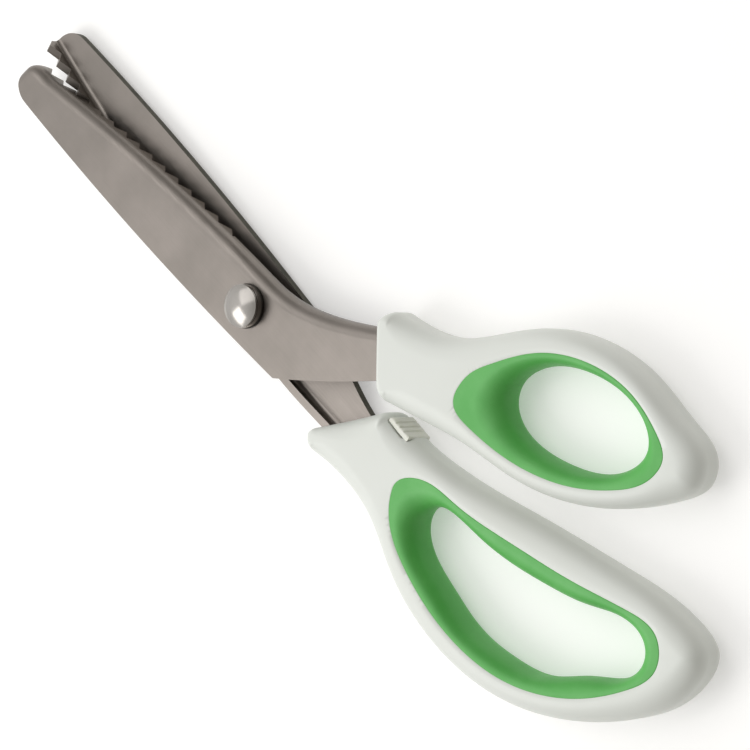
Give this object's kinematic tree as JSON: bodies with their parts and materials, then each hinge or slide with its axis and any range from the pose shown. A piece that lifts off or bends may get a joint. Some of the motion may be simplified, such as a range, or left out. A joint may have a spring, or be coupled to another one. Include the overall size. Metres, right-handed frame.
{
  "type": "pinking shears",
  "caption": "Pinking shears: two pressed steel blades with meshing zigzag edges on one pivot screw, with a thumb ring and a longer finger bow, for cutting cloth with a zigzag edge.",
  "frame": {"origin": "on the pivot axis, at the plane of the pivot nut's outer face, which is the lowest face of the shears as they lie", "axes": "+Z along the pivot axis towards the domed screw head, +X from the pivot to the blade tips along the line where the blades close, +Y to the finger bow's side"},
  "size_m": [0.2334, 0.0783, 0.0141],
  "materials": {
    "blade_steel": "satin ground stainless steel",
    "polished_steel": "polished nickel-plated steel",
    "dark_washer": "blackened spring steel, satin",
    "nylon": "natural nylon, matte",
    "white_shell": "moulded white ABS, semi-gloss",
    "green_grip": "soft green thermoplastic rubber, satin",
    "clear_bumper": "frosted clear soft plastic"
  },
  "bodies": {
    "finger_side": {"rear_blade": "blade_steel", "finger_handle": "white_shell", "finger_grip": "green_grip", "stop_bumper": "clear_bumper"},
    "thumb_side": {"front_blade": "blade_steel", "pivot_screw": "polished_steel", "head_washer": "dark_washer", "front_friction_washer": "nylon", "spring_washer": "polished_steel", "spacer_sleeve": "polished_steel", "rear_friction_washer": "nylon", "pivot_nut": "polished_steel", "thumb_handle": "white_shell", "thumb_grip": "green_grip"}
  },
  "joints": [
    {"name": "blade_pivot", "type": "hinge", "parent": "finger_side", "child": "thumb_side", "pos_m": [0, 0, 0], "axis": [0, 0, 1], "range_deg": [-2.2, 40]}
  ]
}
